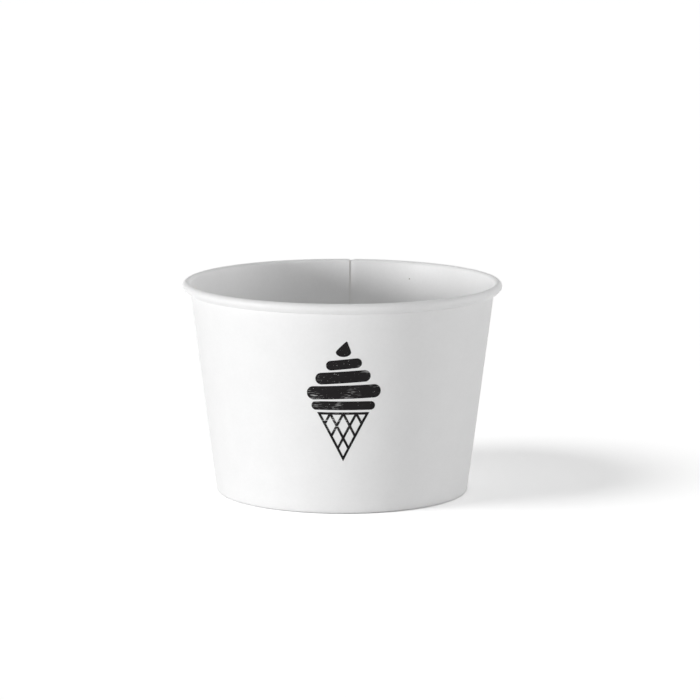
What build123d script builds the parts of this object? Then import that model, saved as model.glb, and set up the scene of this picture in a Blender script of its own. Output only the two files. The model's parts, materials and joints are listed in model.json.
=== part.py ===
from build123d import *
from math import acos, atan2, cos, degrees, hypot, radians, sin, tan
import os

# Paper cup made from two blanks of coated board: a tapered side wall, rolled outward into a
# bead at the rim, and a base disc whose skirt is caught in the wall's folded foot.
# The origin is the centre of the foot, on the table, and the side seam is at the back, at +Y.

# Driving dimensions, in millimetres and degrees
rim_diameter = 95.0  # across the outside of the rolled rim
foot_diameter = 75.3  # wall's outer face, carried straight down to the table
cup_height = 63.0
board = 0.38  # thickness of the board with its coating
roll_diameter = 2.54  # rolled rim, over its outside
roll_turn = 216.0  # how far the board turns over the top and the outside
roll_run = 0.78  # straight stretch below that, down and in towards the wall
roll_close_turn = 70.0  # how far the end turns under, until it is just clear of the wall
crease_radius = 0.06  # inside of the foot's two creases
hem_height = 6.2  # table to the cut edge of the hem
base_recess = 7.0  # table to the underside of the base
base_bend_radius = 0.4  # inside of the bend from the base into its skirt
skirt_clearance = 0.15  # cut edge of the skirt to the bottom of the fold
seal_gap = 0.02  # seal between the layers of the foot
seam_width = 7.0  # overlap of the wall's two ends, at mid height
seam_ramp = 2.0  # stretch over which the outer end climbs onto the inner one
seam_bite = 0.19  # how deep the lapped end is sunk into the wall to fuse with it

# The roll's centre, and the circle that the wall's outer face follows inside the roll
roll_radius = roll_diameter / 2
roll_path_radius = roll_radius - board
roll_centre_r = rim_diameter / 2 - roll_radius
roll_centre_z = cup_height - roll_radius

# The wall's outer face rises from the foot's outer corner to touch that circle
foot_radius = foot_diameter / 2
roll_reach = roll_centre_r - foot_radius
lean = acos(roll_path_radius / hypot(roll_reach, roll_centre_z)) - atan2(roll_centre_z, roll_reach)


def wall_radius(z, outward=0.0):
    # Radius at height z of the cone that lies outward of the wall's outer face
    return foot_radius + z * tan(lean) + outward / cos(lean)


# Foot: wall, skirt and hem lie against each other, each parallel to the wall
hem_inset = 3 * board + 2 * seal_gap
skirt_inset = board + seal_gap


def board_face(depth):
    # Draws one face of the side wall's board, at a depth below its outer face: the hem, the
    # folded foot, the wall and the roll, which closes below itself. Gives the face's two ends.
    hem_end = hem_height - depth * sin(lean)
    folded = FilletPolyline(
        (wall_radius(hem_end, depth - hem_inset), hem_end),
        (wall_radius(depth, depth - hem_inset), depth),
        (wall_radius(depth, -depth), depth),
        (
            roll_centre_r - (roll_path_radius + depth) * cos(lean),
            roll_centre_z + (roll_path_radius + depth) * sin(lean),
        ),
        radius=board + crease_radius - depth,
    )
    roll = JernArc(folded @ 1, folded % 1, roll_path_radius + depth, -roll_turn)
    run = Line(roll @ 1, roll @ 1 + (roll % 1) * roll_run)
    close = JernArc(run @ 1, run % 1, roll_path_radius + depth, -roll_close_turn)
    return folded @ 0, close @ 1


# Lapped end of the wall: measured along the wall's outer face, from just above the foot's crease
# up into the underside of the roll
seam_bottom = board + crease_radius
seam_top = roll_reach * sin(lean) + roll_centre_z * cos(lean) - roll_path_radius
seam_angle = degrees(seam_width / wall_radius(cup_height / 2))
seam_start = radians(90 - seam_angle / 2)
seam_plane = Plane(
    origin=(foot_radius * cos(seam_start), foot_radius * sin(seam_start), 0),
    x_dir=(cos(lean) * cos(seam_start), cos(lean) * sin(seam_start), -sin(lean)),
    z_dir=(sin(seam_start), -cos(seam_start), 0),
)

with BuildPart() as side_wall:
    # The lapped end, with a square cut edge on one side and a ramp on the other
    with BuildSketch(seam_plane):
        with Locations((-seam_bite, seam_bottom)):
            Rectangle(
                board + seam_bite, seam_top - seam_bottom, align=(Align.MIN, Align.MIN)
            )
    revolve(axis=Axis.Z, revolution_arc=seam_angle)
    long_edges = side_wall.edges().filter_by(GeomType.LINE).filter_by(
        lambda edge: edge.length > (seam_top - seam_bottom) / 2
    )
    ramp_face = side_wall.faces().filter_by(GeomType.PLANE).sort_by(Axis.X)[-1]
    chamfer(
        long_edges.sort_by(Axis.X)[-1],
        length=board + seam_bite / 2,
        length2=seam_ramp,
        reference=ramp_face,
    )
    # The board's section: hem, folded foot, wall and roll
    with BuildSketch(Plane.XZ):
        with BuildLine():
            outer_hem_end, outer_roll_end = board_face(0)
            inner_hem_end, inner_roll_end = board_face(board)
            Line(outer_hem_end, inner_hem_end)
            Line(outer_roll_end, inner_roll_end)
        make_face()
    revolve(axis=Axis.Z)

# Base: its top face, the bend and the skirt's outer face, with the board below and inside them
base_top = base_recess + board
skirt_end = board + skirt_clearance

with BuildPart() as base_disc:
    with BuildSketch(Plane.XZ):
        with BuildLine():
            FilletPolyline(
                (0, base_top),
                (wall_radius(base_top, -skirt_inset), base_top),
                (wall_radius(skirt_end, -skirt_inset), skirt_end),
                radius=board + base_bend_radius,
            )
            offset(amount=board, side=Side.RIGHT)
        make_face()
    revolve(axis=Axis.Z)

side_wall.part.label = "side_wall"
base_disc.part.label = "base_disc"

os.makedirs("parts", exist_ok=True)
export_step(side_wall.part, "parts/side_wall.step")
export_step(base_disc.part, "parts/base_disc.step")
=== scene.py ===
import bpy
import json
from math import acos, atan2, cos, exp, hypot, pi, radians, sin, tan
from mathutils import Matrix, Vector, noise

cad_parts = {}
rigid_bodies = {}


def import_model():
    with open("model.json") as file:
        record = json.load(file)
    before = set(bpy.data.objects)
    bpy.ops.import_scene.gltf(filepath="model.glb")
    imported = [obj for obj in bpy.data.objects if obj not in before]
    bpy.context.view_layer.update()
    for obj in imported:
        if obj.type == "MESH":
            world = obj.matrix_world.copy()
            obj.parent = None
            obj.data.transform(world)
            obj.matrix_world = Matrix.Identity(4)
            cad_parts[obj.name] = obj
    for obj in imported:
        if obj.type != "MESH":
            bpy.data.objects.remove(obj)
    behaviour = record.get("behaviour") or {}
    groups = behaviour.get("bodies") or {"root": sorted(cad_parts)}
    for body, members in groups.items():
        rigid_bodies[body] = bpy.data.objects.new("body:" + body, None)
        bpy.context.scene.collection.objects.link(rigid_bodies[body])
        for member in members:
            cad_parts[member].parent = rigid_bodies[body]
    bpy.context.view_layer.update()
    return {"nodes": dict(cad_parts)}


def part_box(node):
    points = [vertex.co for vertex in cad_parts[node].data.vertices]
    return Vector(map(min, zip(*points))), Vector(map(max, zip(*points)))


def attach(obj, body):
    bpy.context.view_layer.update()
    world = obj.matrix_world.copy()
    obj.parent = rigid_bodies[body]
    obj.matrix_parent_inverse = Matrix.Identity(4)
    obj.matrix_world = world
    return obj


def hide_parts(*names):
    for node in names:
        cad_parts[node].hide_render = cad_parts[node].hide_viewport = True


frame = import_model()
mm = 0.001
smoothAngle = radians(40)  # edges sharper than this stay sharp
mergeDistance = 0.0005 * mm
cutSnap = 0.001 * mm  # a cut this near to a corner goes through it
print("frame loaded:", ", ".join(sorted(frame["nodes"])))


# Form of the cup, shared by the pieces that meet the wall
cup = {
    "rimRadius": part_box("side_wall")[1].x,  # outside of the rolled rim
    "height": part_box("side_wall")[1].z,
    "footRadius": 37.65 * mm,  # wall's outer face, carried down to the table
    "board": 0.38 * mm,  # cupstock with its coating
    "rollRadius": 1.27 * mm,  # rolled rim, over its outside
    "sealGap": 0.02 * mm,  # between the layers of the foot
    "outOfRound": 0.09 * mm,  # how far the mouth is from a true circle
    "ovalTurn": -0.7,  # which way it is longest
    "ovalFade": 1.5,  # power by which it fades towards the foot
    "lobeShare": 0.4,  # three fainter lobes on top of the oval
    "lobeTurn": 1.1,
    "baseLine": 7.2 * mm,  # where the base's edge stands behind the wall
    "baseLineProud": 0.03 * mm,  # the wall is pushed out there
    "footPinch": 0.05 * mm,  # and pressed in below it
    "pinchEnd": (-1.0, 0.6),  # millimetres about that line, over which the pinch ends
    "puckerWidth": 3.0 * mm,  # faint upright puckers of the sealed foot
    "puckerHeight": 12 * mm,
    "puckerDepth": 0.02 * mm,
}
rollPath = cup["rollRadius"] - cup["board"]  # the wall's outer face is the inside of the roll
rollCentre = Vector((cup["rimRadius"] - cup["rollRadius"], 0, cup["height"] - cup["rollRadius"]))
rollReach = rollCentre.x - cup["footRadius"]
lean = acos(rollPath / hypot(rollReach, rollCentre.z)) - atan2(rollCentre.z, rollReach)
alongWall = Vector((sin(lean), 0, cos(lean)))  # up the wall, in the section at azimuth 0


def wallRadius(z, outward=0.0):
    return cup["footRadius"] + z * tan(lean) + outward / cos(lean)


def easeStep(low, high, value):
    share = min(max((value - low) / (high - low), 0.0), 1.0)
    return share * share * (3 - 2 * share)


def settle(azimuth, z):
    # how far the real board strays outwards from the true cone, the same for all its layers
    oval = cos(2 * azimuth + cup["ovalTurn"])
    oval += cup["lobeShare"] * cos(3 * azimuth + cup["lobeTurn"])
    stray = cup["outOfRound"] * oval * (max(z, 0) / cup["height"]) ** cup["ovalFade"]
    aboveLine = (z - cup["baseLine"]) / mm
    stray += cup["baseLineProud"] * exp(-(aboveLine ** 2))
    inFoot = 1 - easeStep(*cup["pinchEnd"], aboveLine)
    around = Vector((cos(azimuth), sin(azimuth), 0)) * cup["footRadius"] / cup["puckerWidth"]
    pucker = noise.noise(around + Vector((0, 0, z / cup["puckerHeight"])))
    return stray - inFoot * (cup["footPinch"] + cup["puckerDepth"] * pucker)


# Drawing a section in the XZ plane: one vertex, pulled along lines and arcs
def startSection(name, place):
    bpy.ops.object.select_all(action='DESELECT')
    bpy.ops.mesh.primitive_plane_add(size=mm)
    piece = bpy.context.object
    piece.name = piece.data.name = name
    bpy.ops.object.mode_set(mode='EDIT')
    bpy.ops.mesh.select_mode(type='VERT')
    bpy.ops.mesh.merge(type='CENTER')
    bpy.ops.transform.translate(value=place)
    return piece


def drawLine(start, end, rows):
    for row in range(rows):
        bpy.ops.mesh.extrude_vertices_move(TRANSFORM_OT_translate={"value": (end - start) / rows})
    return end


def drawArc(start, centre, turn, steps):  # turn is anticlockwise, with +X right and +Z up
    bpy.ops.mesh.spin(steps=steps, angle=turn, center=centre, axis=(0, 1, 0))
    return centre + Matrix.Rotation(-turn, 3, 'Y') @ (start - centre)


def spinSection(piece, startAngle, steps, stepAngle):
    # turns the drawn section to its first azimuth and spins it clockwise, seen from above
    bpy.ops.object.mode_set(mode='OBJECT')
    rows = len(piece.data.vertices)
    bpy.ops.object.mode_set(mode='EDIT')
    bpy.ops.mesh.select_all(action='SELECT')
    bpy.ops.transform.rotate(value=-startAngle, orient_axis='Z', center_override=(0, 0, 0))
    bpy.ops.mesh.spin(
        steps=steps, angle=steps * stepAngle, center=(0, 0, 0), axis=(0, 0, 1), use_auto_merge=False
    )
    bpy.ops.object.mode_set(mode='OBJECT')
    return rows


def closeSheet(piece, faceTest):
    # merges the doubles and turns the faces so that those named by the test point away from Z
    bpy.ops.object.mode_set(mode='EDIT')
    bpy.ops.mesh.select_all(action='SELECT')
    bpy.ops.mesh.remove_doubles(threshold=mergeDistance)
    bpy.ops.mesh.normals_make_consistent(inside=False)
    bpy.ops.object.mode_set(mode='OBJECT')
    outward = 0.0
    for face in piece.data.polygons:
        if faceTest(face.center):
            outward += face.normal.x * face.center.x + face.normal.y * face.center.y
    if outward < 0:
        bpy.ops.object.mode_set(mode='EDIT')
        bpy.ops.mesh.flip_normals()
        bpy.ops.object.mode_set(mode='OBJECT')


def thickenBoard(piece, materials):
    # the sheet is the board's outer face, and the board lies behind it
    for material in materials:
        piece.data.materials.append(material)
    thick = piece.modifiers.new("board", 'SOLIDIFY')
    thick.thickness = cup["board"]
    thick.offset = -1
    thick.use_even_offset = True
    thick.material_offset = 1
    thick.material_offset_rim = 2
    bpy.ops.object.modifier_apply(modifier=thick.name)
    bpy.ops.object.shade_smooth_by_angle(angle=smoothAngle)


# Nodes and colours
def hexColour(code):  # from a screen colour to the light that makes it
    parts = [int(code[i:i + 2], 16) / 255 for i in (0, 2, 4)]
    return [p / 12.92 if p <= 0.04045 else ((p + 0.055) / 1.055) ** 2.4 for p in parts] + [1.0]


def addNode(tree, kind, inputs, **settings):
    node = tree.nodes.new(kind)
    for name, value in settings.items():
        setattr(node, name, value)
    for socket, value in inputs.items():
        if isinstance(value, bpy.types.NodeSocket):
            tree.links.new(value, node.inputs[socket])
        else:
            node.inputs[socket].default_value = value
    return node


def addNoise(tree, place, size, detail):
    inputs = {"Vector": place, "Scale": 1 / size, "Detail": detail}
    return addNode(tree, 'ShaderNodeTexNoise', inputs).outputs["Fac"]


def addMath(tree, operation, first, second):
    return addNode(tree, 'ShaderNodeMath', {0: first, 1: second}, operation=operation).outputs[0]


def addRange(tree, value, low, high, atLow=0.0, atHigh=1.0):
    inputs = {"Value": value, "From Min": low, "From Max": high, "To Min": atLow, "To Max": atHigh}
    return addNode(tree, 'ShaderNodeMapRange', inputs).outputs[0]


def addMix(tree, share, first, second):
    inputs = {"Factor": share, "A": first, "B": second}
    return addNode(tree, 'ShaderNodeMix', inputs, data_type='RGBA').outputs[2]


def newMaterial(name):
    material = bpy.data.materials.new(name)
    material.use_nodes = True
    tree = material.node_tree
    tree.nodes.clear()
    return material, tree


def objectPlace(tree):
    return addNode(tree, 'ShaderNodeTexCoord', {}).outputs["Object"]


def finishMaterial(tree, shader):
    addNode(tree, 'ShaderNodeOutputMaterial', {"Surface": shader})


# Bleached cupstock, machine finished: matt white, with soft clouds where the pulp lay thicker, a
# felt of fibres that breaks up the light, and a stray dark fibre end here and there
cupstock = {
    "white": "F5F5F5",
    "cloud": "F2F2F2",
    "cloudSize": 7 * mm,
    "cloudDetail": 3.0,
    "cloudRange": (0.7, 1.3),  # of clouds and felt together
    "feltSize": 0.9 * mm,  # real felt is near 0.1 mm, drawn coarser so that it shows
    "feltDetail": 4.0,
    "fleck": "B9B6AF",
    "fleckSpacing": 16 * mm,
    "fleckSize": 0.22 * mm,
    "fleckBlur": 1.6,  # its soft edge ends at this many times its size
    "ior": 1.5,
    "matt": (0.62, 0.15, 0.004 * mm),  # outside: roughness, gloss, and height of the felt
    "coated": (0.45, 0.25, 0.002 * mm),  # inside: the same, under a thin plastic coat
}


def makeCupstock(name, roughness, gloss, feltHeight):
    c = cupstock
    material, tree = newMaterial(name)
    place = objectPlace(tree)
    cloud = addNoise(tree, place, c["cloudSize"], c["cloudDetail"])
    felt = addNoise(tree, place, c["feltSize"], c["feltDetail"])
    level = addRange(tree, addMath(tree, 'ADD', cloud, felt), *c["cloudRange"])
    sheet = addMix(tree, level, hexColour(c["white"]), hexColour(c["cloud"]))
    speck = addNode(tree, 'ShaderNodeTexVoronoi', {"Vector": place, "Scale": 1 / c["fleckSpacing"]})
    fleckShare = c["fleckSize"] / c["fleckSpacing"]
    fleckEnd = fleckShare * c["fleckBlur"]
    isFleck = addRange(tree, speck.outputs["Distance"], fleckShare, fleckEnd, 1.0, 0.0)
    colour = addMix(tree, isFleck, sheet, hexColour(c["fleck"]))
    bump = addNode(tree, 'ShaderNodeBump', {"Height": felt, "Distance": feltHeight, "Strength": 1.0})
    shader = addNode(
        tree,
        'ShaderNodeBsdfPrincipled',
        {"Base Color": colour, "Roughness": roughness, "IOR": c["ior"],
         "Specular IOR Level": gloss, "Normal": bump.outputs[0]},
    )
    finishMaterial(tree, shader.outputs[0])
    return material


# Raw edge of the die-cut board: no coating, so warmer, dull and fuzzy
cutEdge = {
    "pulp": "EFECE4",
    "shadow": "DAD5C9",
    "fibreSize": 0.3 * mm,
    "fibreDetail": 3.0,
    "roughness": 0.9,
    "ior": 1.5,
}


def makeCutEdge():
    e = cutEdge
    material, tree = newMaterial("rawBoardEdge")
    fibre = addNoise(tree, objectPlace(tree), e["fibreSize"], e["fibreDetail"])
    colour = addMix(tree, fibre, hexColour(e["pulp"]), hexColour(e["shadow"]))
    shader = addNode(
        tree,
        'ShaderNodeBsdfPrincipled',
        {"Base Color": colour, "Roughness": e["roughness"], "IOR": e["ior"]},
    )
    finishMaterial(tree, shader.outputs[0])
    return material


# Black flexographic ink: flat and dull, with streaks and pinholes where the plate was starved of ink
ink = {
    "black": "181617",
    "bare": "D9D9D8",  # board that shows through
    "streakSize": (2.2 * mm, 2.2 * mm, 0.28 * mm),  # across, deep and high: drawn out along the lines
    "streakDetail": 3.0,
    "streakRange": (0.52, 0.62),  # noise at which a streak begins, and at which it is bare
    "patchSize": 6 * mm,  # how far apart the starved places are
    "patchDetail": 1.0,
    "patchRange": (0.5, 0.7),
    "pinholeSize": 0.35 * mm,
    "pinholeDetail": 2.0,
    "pinholeRange": (0.70, 0.78),
    "roughness": 0.7,
    "gloss": 0.15,
    "ior": 1.45,
}


def makeInk():
    material, tree = newMaterial("blackPrintingInk")
    place = objectPlace(tree)
    stretch = [1 / size for size in ink["streakSize"]]
    drawnOut = addNode(tree, 'ShaderNodeMapping', {"Vector": place, "Scale": stretch})
    streak = addNoise(tree, drawnOut.outputs[0], 1.0, ink["streakDetail"])
    patch = addNoise(tree, place, ink["patchSize"], ink["patchDetail"])
    pinhole = addNoise(tree, place, ink["pinholeSize"], ink["pinholeDetail"])
    starved = addRange(tree, patch, *ink["patchRange"])
    streaky = addRange(tree, streak, *ink["streakRange"])
    inHole = addRange(tree, pinhole, *ink["pinholeRange"])
    missing = addMath(tree, 'MAXIMUM', addMath(tree, 'MULTIPLY', starved, streaky), inHole)
    colour = addMix(tree, missing, hexColour(ink["black"]), hexColour(ink["bare"]))
    shader = addNode(
        tree,
        'ShaderNodeBsdfPrincipled',
        {"Base Color": colour, "Roughness": ink["roughness"], "IOR": ink["ior"],
         "Specular IOR Level": ink["gloss"]},
    )
    finishMaterial(tree, shader.outputs[0])
    return material


boardOutside = makeCupstock("mattCupstock", *cupstock["matt"])
boardInside = makeCupstock("coatedCupstock", *cupstock["coated"])
boardEdge = makeCutEdge()
printInk = makeInk()
print("materials made")


# Side wall: one lapped sheet, with a hem, a folded foot and a rolled rim
sideWall = {
    "hemHeight": 6.2 * mm,  # table to the cut edge of the hem
    "hemRows": 4,
    "creaseRadius": 0.57 * mm,  # outside of the foot's two creases, which nearly meet
    "creaseSteps": 6,
    "wallRows": [(10 * mm, 11), (57 * mm, 12)],  # height reached, and rows up to it
    "plainWall": (20 * mm, 40 * mm),  # only the cone is between these heights
    "neckRows": 3,
    "rollTurn": radians(216),  # over the top and the outside
    "rollSteps": 22,
    "rollRun": 0.78 * mm,  # straight stretch below that, down and in towards the wall
    "closeTurn": radians(70),  # the end turns under, until it is just clear of the wall
    "closeSteps": 8,
    "rollRoom": (0.05 * mm, 0.1 * mm),  # off the wall and past the board: room for the lap
    "ringsPerTurn": 480,
    "lapRings": 10,  # the outer end lies on the inner one over these
    "rampRings": 3,  # and comes down beside it over these
    "lapGap": 0.01 * mm,
    "lapFoot": (1.2 * mm, 4.5 * mm),  # the lap is ironed flat towards the crease
    "knurlTeeth": 120,  # pressed into the hem where it is sealed
    "knurlDepth": 0.06 * mm,
    "knurlFade": (0.2 * mm, 1.2 * mm),  # below the cut edge, where it begins
}


def makeSideWall():
    w = sideWall
    crease = w["creaseRadius"]
    hemInset = 3 * cup["board"] + 2 * cup["sealGap"]
    hemTop = Vector((wallRadius(w["hemHeight"], -hemInset), 0, w["hemHeight"]))
    hemFoot = Vector((wallRadius(0, -hemInset), 0, 0))
    innerTurn = pi / 2 + lean
    outerTurn = pi / 2 - lean
    innerTangent = crease * tan(innerTurn / 2)
    outerTangent = crease * tan(outerTurn / 2)
    innerCentre = Vector((hemFoot.x + innerTangent, 0, crease))
    outerCentre = Vector((cup["footRadius"] - outerTangent, 0, crease))

    pen = hemTop
    piece = startSection("sideWall", pen)
    pen = drawLine(pen, hemFoot + alongWall * innerTangent, w["hemRows"])
    pen = drawArc(pen, innerCentre, innerTurn, w["creaseSteps"])
    pen = drawLine(pen, Vector((outerCentre.x, 0, 0)), 1)  # flat ring that stands on the table
    pen = drawArc(pen, outerCentre, outerTurn, w["creaseSteps"])
    for height, rows in w["wallRows"]:
        pen = drawLine(pen, Vector((wallRadius(height), 0, height)), rows)
    pen = drawLine(pen, rollCentre + rollPath * Vector((-cos(lean), 0, sin(lean))), w["neckRows"])
    pen = drawArc(pen, rollCentre, -w["rollTurn"], w["rollSteps"])
    run = w["rollRun"] * (Matrix.Rotation(w["rollTurn"], 3, 'Y') @ alongWall)
    pen = drawLine(pen, pen + run, 2)
    drawArc(pen, rollCentre + run, -w["closeTurn"], w["closeSteps"])

    # The sheet starts at the cut edge of its outer end, at the back, and runs past a full turn
    ringStep = 2 * pi / w["ringsPerTurn"]
    seamHalf = (w["lapRings"] + w["rampRings"]) / 2 * ringStep
    rows = spinSection(piece, pi / 2 + seamHalf, w["ringsPerTurn"] + w["lapRings"], ringStep)

    def onWall(place):
        return w["plainWall"][0] < place.z < w["plainWall"][1]

    wallFace = next(face for face in piece.data.polygons if onWall(face.center))
    facing = 1 if wallFace.normal.xy.dot(wallFace.center.xy) > 0 else -1
    normals = [facing * vertex.normal for vertex in piece.data.vertices]
    roomStart = w["rollRoom"][0]
    roomEnd = cup["board"] + w["rollRoom"][1]
    trimmed = set()
    for vertex, normal in zip(piece.data.vertices, normals):
        ring = vertex.index // rows
        place = vertex.co.copy()
        azimuth = atan2(place.y, place.x)
        radius = hypot(place.x, place.y)
        offWall = radius - wallRadius(place.z)
        inHem = offWall < -cup["board"] / 2
        underRoll = place.z < rollCentre.z and roomStart < offWall < roomEnd
        lift = 0.0
        if not inHem:
            onLap = 1 - easeStep(w["lapRings"], w["lapRings"] + w["rampRings"], ring)
            lift = (cup["board"] + w["lapGap"]) * onLap * easeStep(*w["lapFoot"], place.z)
        onInnerEnd = ring >= w["ringsPerTurn"]
        if onInnerEnd and (inHem or place.z < w["lapFoot"][1]):
            trimmed.add(vertex.index)  # corner cut off the inner end, so that the fold isn't doubled
        if underRoll and (onInnerEnd or ring <= w["lapRings"] + w["rampRings"]):
            trimmed.add(vertex.index)  # the roll stays open by the thickness of the lap
        stray = settle(azimuth, place.z)
        if inHem and place.z > crease:
            tooth = 0.5 + 0.5 * cos(azimuth * w["knurlTeeth"])
            belowEdge = w["hemHeight"] - place.z
            stray -= w["knurlDepth"] * tooth * easeStep(*w["knurlFade"], belowEdge)
        vertex.co = place + lift * normal + stray * Vector((cos(azimuth), sin(azimuth), 0))

    bpy.ops.object.mode_set(mode='EDIT')
    bpy.ops.mesh.select_mode(type='FACE')
    bpy.ops.mesh.select_all(action='DESELECT')
    bpy.ops.object.mode_set(mode='OBJECT')
    for face in piece.data.polygons:
        face.select = trimmed.issuperset(face.vertices)
    bpy.ops.object.mode_set(mode='EDIT')
    bpy.ops.mesh.delete(type='FACE')
    bpy.ops.object.mode_set(mode='OBJECT')
    closeSheet(piece, onWall)
    thickenBoard(piece, [boardOutside, boardInside, boardEdge])
    return piece


wall = makeSideWall()
print("side wall made:", len(wall.data.polygons), "faces")


# Base: a disc drawn into a shallow tray, whose skirt points down into the fold of the foot
baseDisc = {
    "recess": 7.0 * mm,  # table to its underside
    "bendRadius": 0.78 * mm,  # outside of the bend into the skirt
    "skirtEnd": 0.53 * mm,  # table to its cut edge
    "discRows": 14,
    "bendSteps": 7,
    "skirtRows": 4,
    "rings": 240,
    "crown": 0.25 * mm,  # the middle stands a little proud
    "pleats": 80,  # where the board gathers into the skirt
    "pleatHeight": 0.03 * mm,
    "pleatStart": (0.85, 0.97),  # share of the radius over which they rise
    "followStart": (0.9, 1.0),  # and over which the base begins to follow the wall
}


def makeBaseDisc():
    b = baseDisc
    top = b["recess"] + cup["board"]
    inset = cup["board"] + cup["sealGap"]
    bend = b["bendRadius"]
    turn = pi / 2 + lean
    corner = Vector((wallRadius(top, -inset), 0, top))
    tangent = bend * tan(turn / 2)
    bendStart = corner.x - tangent

    pen = Vector((0, 0, top))
    piece = startSection("baseDisc", pen)
    pen = drawLine(pen, Vector((bendStart, 0, top)), b["discRows"])
    pen = drawArc(pen, Vector((bendStart, 0, top - bend)), -turn, b["bendSteps"])
    skirtFoot = Vector((wallRadius(b["skirtEnd"], -inset), 0, b["skirtEnd"]))
    drawLine(pen, skirtFoot, b["skirtRows"])
    spinSection(piece, 0, b["rings"], 2 * pi / b["rings"])

    for vertex in piece.data.vertices:
        place = vertex.co.copy()
        azimuth = atan2(place.y, place.x)
        radius = hypot(place.x, place.y)
        share = min(radius / bendStart, 1.0)
        gathered = easeStep(*b["pleatStart"], share) * easeStep(0, bend, place.z - top + bend)
        place.z += b["crown"] * (1 - share ** 2)
        place.z -= b["pleatHeight"] * gathered * (0.5 + 0.5 * cos(azimuth * b["pleats"]))
        stray = easeStep(*b["followStart"], radius / corner.x) * settle(azimuth, vertex.co.z)
        vertex.co = place + stray * Vector((cos(azimuth), sin(azimuth), 0))
    closeSheet(piece, lambda place: place.z < top - 2 * bend)
    thickenBoard(piece, [boardInside, boardOutside, boardEdge])
    return piece


base = makeBaseDisc()
print("base made:", len(base.data.polygons), "faces")


# Print on the front: a swirl on a lattice cone, drawn flat about its own middle
frontPrint = {
    "middle": (0.4 * mm, 32.7 * mm),  # across the front, and up the wall
    "coneHalf": 7.6 * mm,
    "coneTop": -2.0 * mm,
    "coneTip": -16.8 * mm,
    "coneCells": 4,
    "line": 0.72 * mm,  # lines of the lattice
    "bars": [  # collar and swirl, in millimetres: middle, half size, and tilt in degrees
        ((0.0, 0.0), (9.2, 1.3), 0),
        ((0.15, 4.05), (10.6, 2.0), 2),
        ((-0.1, 8.5), (7.8, 1.75), 4),
        ((0.15, 12.4), (5.0, 1.45), 6),
    ],
    "roundness": 0.97,  # of a bar's half height
    "roundSteps": 10,
    "tipHalf": (2.1 * mm, 1.35 * mm),
    "tipCorners": 48,
    "tipMiddle": (0.0, 16.0 * mm),
    "tipPull": (0.9 * mm, 1.9 * mm),
    "tipNarrow": 0.6,  # how much the flick draws it in
    "slice": 1.2 * mm,  # cut upright this often, to follow the wall round
    "lift": 0.012 * mm,
    "film": 0.03 * mm,
}


def cutAcross(point, normal):  # crosses all that shows with one line
    bpy.ops.mesh.select_all(action='SELECT')
    bpy.ops.mesh.bisect(plane_co=point, plane_no=Vector(normal).normalized(), threshold=cutSnap)


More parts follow.
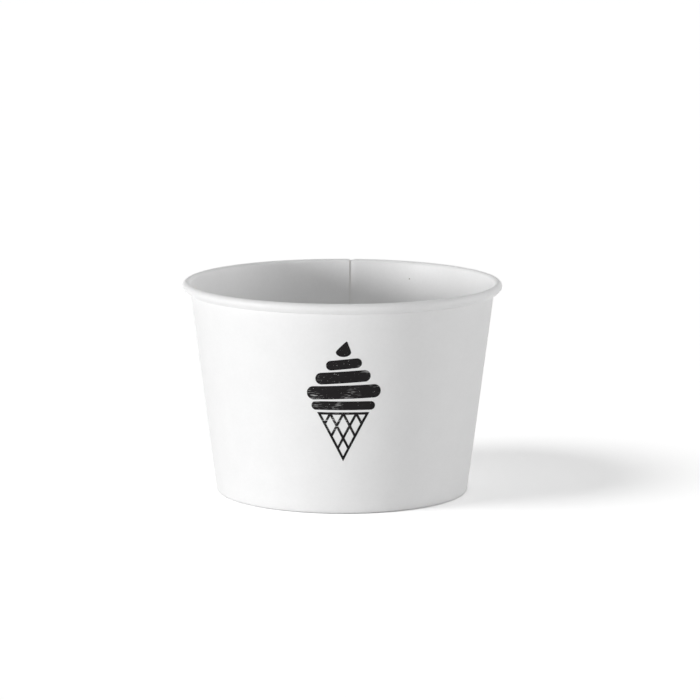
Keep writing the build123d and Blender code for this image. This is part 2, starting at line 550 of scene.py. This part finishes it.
def makeFrontPrint():
    p = frontPrint
    origin = (0, 0, 0)
    bpy.ops.object.select_all(action='DESELECT')
    bpy.ops.mesh.primitive_circle_add(vertices=3, radius=1, fill_type='NGON')
    piece = bpy.context.object
    piece.name = piece.data.name = "frontPrint"
    bpy.ops.object.mode_set(mode='EDIT')
    bpy.ops.mesh.select_mode(type='FACE')
    bpy.ops.mesh.select_all(action='SELECT')

    # Cone: a triangle on its tip, framed by an inset and crossed by lines along its two sides.
    # The triangle starts 1.5 high, about a point at a third of its height.
    coneHigh = p["coneTop"] - p["coneTip"]
    bpy.ops.transform.rotate(value=pi, orient_axis='Z', center_override=origin)
    bpy.ops.transform.resize(
        value=(p["coneHalf"] / cos(pi / 6), coneHigh / 1.5, 1), center_override=origin
    )
    bpy.ops.transform.translate(value=(0, p["coneTop"] - coneHigh / 3, 0))
    bpy.ops.mesh.inset(thickness=p["line"] / 2)
    bpy.ops.mesh.hide(unselected=True)
    for cell in range(1, p["coneCells"]):
        across = p["coneHalf"] * (2 * cell / p["coneCells"] - 1)
        for side in (-1, 1):
            cutAcross((across, p["coneTop"] - p["line"] / 2, 0), (coneHigh, side * p["coneHalf"], 0))
    bpy.ops.mesh.select_all(action='SELECT')
    bpy.ops.mesh.inset(thickness=p["line"] / 2, use_individual=True)
    bpy.ops.mesh.delete(type='FACE')
    bpy.ops.mesh.reveal(select=False)

    for middle, half, tilt in p["bars"]:
        bpy.ops.mesh.primitive_plane_add(size=2)
        bpy.ops.transform.resize(value=(half[0] * mm, half[1] * mm, 1), center_override=origin)
        bpy.ops.mesh.bevel(
            offset=p["roundness"] * half[1] * mm, segments=p["roundSteps"], affect='VERTICES'
        )
        bpy.ops.mesh.select_linked()
        bpy.ops.transform.rotate(value=-radians(tilt), orient_axis='Z', center_override=origin)
        bpy.ops.transform.translate(value=(middle[0] * mm, middle[1] * mm, 0))

    # Tip: a flattened dab, flicked up to one side when it is laid on the wall
    bpy.ops.mesh.primitive_circle_add(vertices=p["tipCorners"], radius=1, fill_type='NGON')
    bpy.ops.transform.resize(value=(*p["tipHalf"], 1), center_override=origin)
    bpy.ops.transform.translate(value=(*p["tipMiddle"], 0))

    reach = int(max(half[0] for middle, half, tilt in p["bars"]) * mm / p["slice"]) + 1
    for step in range(-reach, reach + 1):
        cutAcross((step * p["slice"], 0, 0), (1, 0, 0))
    bpy.ops.object.mode_set(mode='OBJECT')

    for vertex in piece.data.vertices:  # pulls the tip, then lays the flat drawing on the wall
        x, y = vertex.co.xy
        pull = max((y - p["tipMiddle"][1]) / p["tipHalf"][1], 0.0) ** 2
        x += pull * (p["tipPull"][0] - p["tipNarrow"] * (x - p["tipMiddle"][0]))
        y += pull * p["tipPull"][1]
        z = p["middle"][1] + y * cos(lean)
        azimuth = -pi / 2 + (p["middle"][0] + x) / wallRadius(p["middle"][1])
        radius = wallRadius(z, p["lift"]) + settle(azimuth, z)
        vertex.co = (radius * cos(azimuth), radius * sin(azimuth), z)
    piece.data.materials.append(printInk)
    film = piece.modifiers.new("film", 'SOLIDIFY')
    film.thickness = p["film"]
    film.offset = 1
    bpy.ops.object.modifier_apply(modifier=film.name)
    bpy.ops.object.shade_smooth_by_angle(angle=smoothAngle)
    return piece


motif = makeFrontPrint()
print("front print made:", len(motif.data.polygons), "faces")


# Studio: white floor and surround, with soft light on the cup from both sides and from below
studio = {
    "white": "FFFFFF",  # of the floor, and of the surround where it shows
    "floorHalf": 6.0,
    "floorGlow": 0.325,  # what the eye sees on top of the lit floor, so that it is white
    "floorBounce": "909090",  # what it throws back up at the cup
    "zenithLevel": 0.545,  # the surround is dark at the horizon and lightest overhead
    "suns": [  # soft boxes on the cup: side from the front, height, strength and spread
        ("keySun", -63, 5, 2.22, 14),
        ("sideSun", 91, 4, 1.63, 43),
    ],
    "cards": [  # reflectors below the floor, a wide one before the cup and a narrow one behind
        ("frontCard", 0, -40, 1.19, 120),
        ("rearCard", 180, -40, 1.60, 20),
    ],
    "stopRadius": 38.3 * mm,  # disc that keeps the cards' light out of the crease of the foot
    "stopCorners": 128,
    "stopDepth": 0.1 * mm,  # below the floor
    "shadowSun": ("shadowSun", -66, 46, 1.39, 24),  # falls on the floor alone
}


def mixSeen(tree, unseen, seen):
    # the second shader is for rays that show the studio itself, in the picture or mirrored in a gloss
    path = addNode(tree, 'ShaderNodeLightPath', {}).outputs
    shows = addMath(tree, 'MAXIMUM', path["Is Camera Ray"], path["Is Glossy Ray"])
    shows = addMath(tree, 'MAXIMUM', shows, path["Is Transmission Ray"])
    inputs = {0: shows, 1: unseen.outputs[0], 2: seen.outputs[0]}
    return addNode(tree, 'ShaderNodeMixShader', inputs).outputs[0]


def makeFloor():
    bpy.ops.object.select_all(action='DESELECT')
    bpy.ops.mesh.primitive_plane_add(size=2 * studio["floorHalf"])
    floor = bpy.context.object
    floor.name = "studioFloor"
    material, tree = newMaterial("whitePaperFloor")
    lit = addNode(tree, 'ShaderNodeBsdfDiffuse', {"Color": hexColour(studio["white"])})
    glow = addNode(tree, 'ShaderNodeEmission', {"Strength": studio["floorGlow"]})
    both = addNode(tree, 'ShaderNodeAddShader', {0: lit.outputs[0], 1: glow.outputs[0]})
    bounce = addNode(tree, 'ShaderNodeBsdfDiffuse', {"Color": hexColour(studio["floorBounce"])})
    finishMaterial(tree, mixSeen(tree, bounce, both))
    floor.data.materials.append(material)
    return floor


def makeSurround():
    world = bpy.data.worlds.new("studioSurround")
    bpy.context.scene.world = world
    world.use_nodes = True
    tree = world.node_tree
    tree.nodes.clear()
    way = addNode(tree, 'ShaderNodeTexCoord', {})
    up = addNode(tree, 'ShaderNodeSeparateXYZ', {"Vector": way.outputs["Generated"]})
    level = addRange(tree, up.outputs["Z"], 0.0, 1.0, 0.0, studio["zenithLevel"])
    white = hexColour(studio["white"])
    light = addNode(tree, 'ShaderNodeBackground', {"Color": white, "Strength": level})
    shown = addNode(tree, 'ShaderNodeBackground', {"Color": white, "Strength": 1.0})
    addNode(tree, 'ShaderNodeOutputWorld', {"Surface": mixSeen(tree, light, shown)})


def makeSun(name, side, height, strength, spread):
    bpy.ops.object.light_add(type='SUN')
    sun = bpy.context.object
    sun.name = name
    side = radians(side)
    height = radians(height)
    towards = Vector((sin(side) * cos(height), -cos(side) * cos(height), sin(height)))
    sun.rotation_euler = towards.to_track_quat('Z', 'Y').to_euler()
    sun.location = towards
    sun.data.energy = strength
    sun.data.angle = radians(spread)
    return sun


def makeCardStop():
    bpy.ops.mesh.primitive_circle_add(
        vertices=studio["stopCorners"],
        radius=studio["stopRadius"],
        fill_type='NGON',
        location=(0, 0, -studio["stopDepth"]),
    )
    disc = bpy.context.object
    disc.name = "cardStop"
    return disc


def makeGroup(name, members):
    group = bpy.data.collections.new(name)
    for member in members:
        group.objects.link(member)
    return group


floor = makeFloor()
makeSurround()
pieces = (wall, base, motif)
cupGroup = makeGroup("litCup", pieces)
for sun in studio["suns"]:
    makeSun(*sun).light_linking.receiver_collection = cupGroup
stopGroup = makeGroup("cardStops", pieces + (makeCardStop(),))
for card in studio["cards"]:
    lamp = makeSun(*card)
    lamp.light_linking.receiver_collection = cupGroup
    lamp.light_linking.blocker_collection = stopGroup  # the floor lets their light through
    lamp.data.cycles.use_multiple_importance_sampling = False  # or the floor would keep a share of it
makeSun(*studio["shadowSun"]).light_linking.receiver_collection = makeGroup("litFloor", (floor,))
print("studio lit")


# Camera: a long lens, a little above the rim
camera = {
    "place": (0.00186, -1.0349, 0.215),
    "tilt": radians(80.51),
    "roll": radians(-0.15),
    "lens": 180.6,
    "sensor": 36.0,
}
bpy.ops.object.camera_add(location=camera["place"], rotation=(camera["tilt"], camera["roll"], 0))
eye = bpy.context.object
eye.data.lens = camera["lens"]
eye.data.sensor_width = camera["sensor"]
eye.data.sensor_fit = 'HORIZONTAL'
bpy.context.scene.camera = eye
bpy.context.scene.view_settings.view_transform = 'Standard'
print("camera set")


# Pieces take the places of the solids
for piece in pieces:
    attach(piece, "root")
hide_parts("side_wall")
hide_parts("base_disc")
